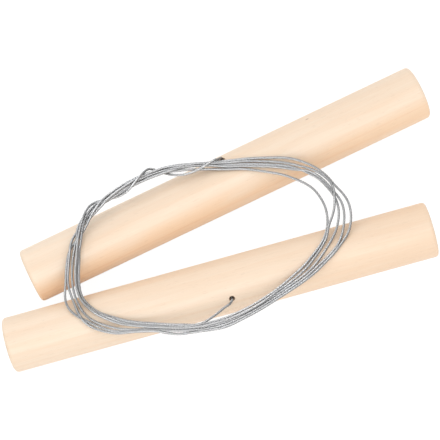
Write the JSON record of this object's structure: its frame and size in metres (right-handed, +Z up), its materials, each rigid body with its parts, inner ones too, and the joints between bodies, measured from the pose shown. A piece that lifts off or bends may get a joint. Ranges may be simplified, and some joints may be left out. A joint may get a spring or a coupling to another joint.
{
  "type": "clay cutter",
  "caption": "Wire clay cutter: plain wooden dowel handles on the ends of a long stranded steel wire, put away as a flat coil tied round itself and laid across the handles.",
  "frame": {"origin": "on the surface that the handles lie on, under the middle of the box round both handles", "axes": "+X along the near handle, +Y from the near handle toward the far one, +Z up"},
  "size_m": [0.1346, 0.063, 0.021],
  "materials": {
    "handle_wood": "sanded, unvarnished",
    "wire_steel": "drawn and stranded",
    "sleeve_alloy": "crimped, satin"
  },
  "bodies": {
    "wire": {"wire_coil": "wire_steel", "wire_tie": "wire_steel", "near_tail": "wire_steel", "far_tail": "wire_steel"},
    "near_grip": {"near_handle": "handle_wood", "near_wire_end": "wire_steel", "near_stop": "sleeve_alloy"},
    "far_grip": {"far_handle": "handle_wood", "far_wire_end": "wire_steel", "far_stop": "sleeve_alloy"}
  },
  "joints": [
    {"name": "near_swing", "type": "hinge", "parent": "wire", "child": "near_grip", "pos_m": [-0.00222, -0.02625, 0.008], "axis": [0, 0, 1], "range_deg": [-1, 12]},
    {"name": "far_swing", "type": "hinge", "parent": "wire", "child": "far_grip", "pos_m": [0.00544, 0.01448, 0.008], "axis": [0, 0, 1], "range_deg": [-8, 0.5]}
  ]
}
